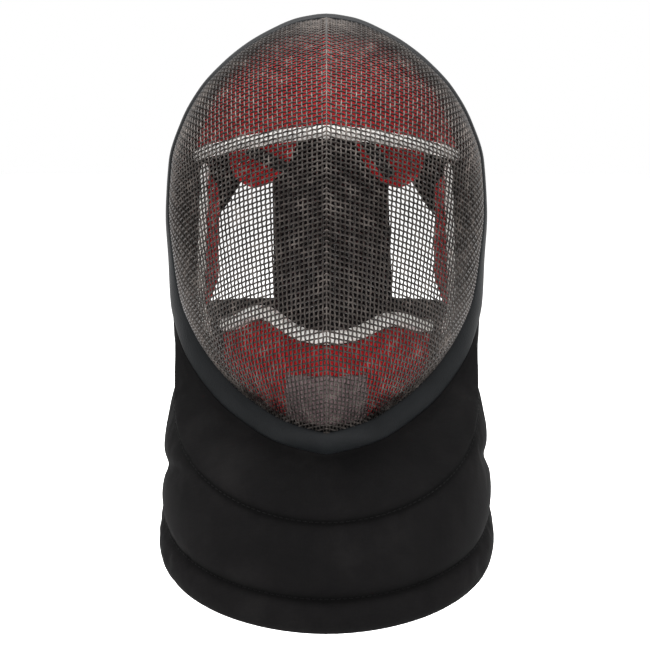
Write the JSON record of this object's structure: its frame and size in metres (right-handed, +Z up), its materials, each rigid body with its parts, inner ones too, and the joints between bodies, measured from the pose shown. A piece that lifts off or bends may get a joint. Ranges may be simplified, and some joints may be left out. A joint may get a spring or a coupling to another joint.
{
  "type": "fencing mask",
  "caption": "Fencing mask: bent wire mesh face with an edge band, padded cloth bib, red lining with pale bindings, rear flaps, spring tongue and elastic strap.",
  "frame": {"origin": "the seat of the head, under the crown pad in the middle of the mask", "axes": "+Z up through the crown, -Y out of the face mesh, +X to the right as seen from the front"},
  "size_m": [0.2066, 0.2128, 0.3666],
  "materials": {
    "black_wire": "black painted steel wire, satin",
    "black_band": "smooth bluish-black trim",
    "black_cloth": "matte black woven cloth over padding",
    "red_lining": "soft brushed red lining cloth over padding",
    "white_tape": "matte white binding tape",
    "label_cloth": "blank pale grey cloth",
    "black_elastic": "ribbed black elastic webbing",
    "tongue_cloth": "dark cloth cover over a spring"
  },
  "bodies": {
    "root": {"face_mesh": "black_wire", "edge_band": "black_band", "bib": "black_cloth", "crown_pad": "red_lining", "forehead_binding": "white_tape", "side_pad_left": "red_lining", "side_pad_right": "red_lining", "side_binding_left": "white_tape", "side_binding_right": "white_tape", "chin_pad": "red_lining", "chin_binding": "white_tape", "chin_label": "label_cloth", "crown_rear_band": "black_cloth", "crown_lobe_left": "red_lining", "crown_lobe_right": "red_lining", "lobe_tape_left": "black_elastic", "lobe_tape_right": "black_elastic", "back_tongue": "tongue_cloth", "back_strap": "black_elastic"}
  },
  "joints": []
}
